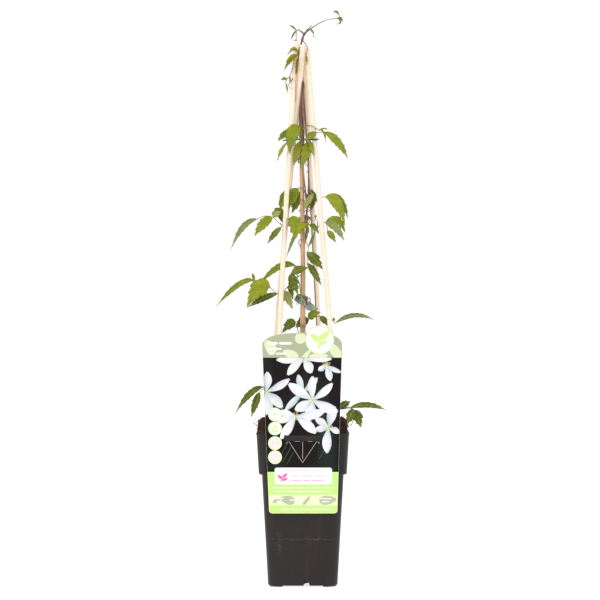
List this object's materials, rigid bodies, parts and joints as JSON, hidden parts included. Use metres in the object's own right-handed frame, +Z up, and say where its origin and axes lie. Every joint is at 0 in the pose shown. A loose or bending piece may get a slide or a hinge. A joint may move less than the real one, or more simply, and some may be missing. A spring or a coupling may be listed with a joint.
{
  "type": "potted clematis climbing plant",
  "caption": "Young climbing plant in a tall square nursery pot, trained up a pyramid of canes with a tie, a film band and a hanging label card.",
  "frame": {"origin": "under the middle of the pot, on the surface that the pot stands on, at the foot in the middle of its base", "axes": "+Z up along the canes, -Y towards the label card at the front, +X to the right seen from the front"},
  "size_m": [0.2221, 0.126, 0.7443],
  "materials": {
    "pot": "black moulded polypropylene, satin",
    "soil": "damp peat with fibres",
    "cane": "pale split cane, satin",
    "bamboo": "brown bamboo with a waxy skin",
    "wire": "green coated wire",
    "film": "thin grey-green film",
    "card": "printed plastic card",
    "foliage": "fresh toothed leaf with a satin upper side"
  },
  "bodies": {
    "root": {"pot": "pot", "soil": "soil", "cane_front_left": "cane", "cane_front_right": "cane", "cane_back_left": "cane", "cane_back_right": "cane", "centre_cane": "bamboo", "wire_tie": "wire", "grower_tape": "film", "label_card": "card", "leafy_stem_main": "foliage", "leafy_stem_second": "foliage", "low_shoot_left": "foliage", "low_shoot_right": "foliage"}
  },
  "joints": []
}
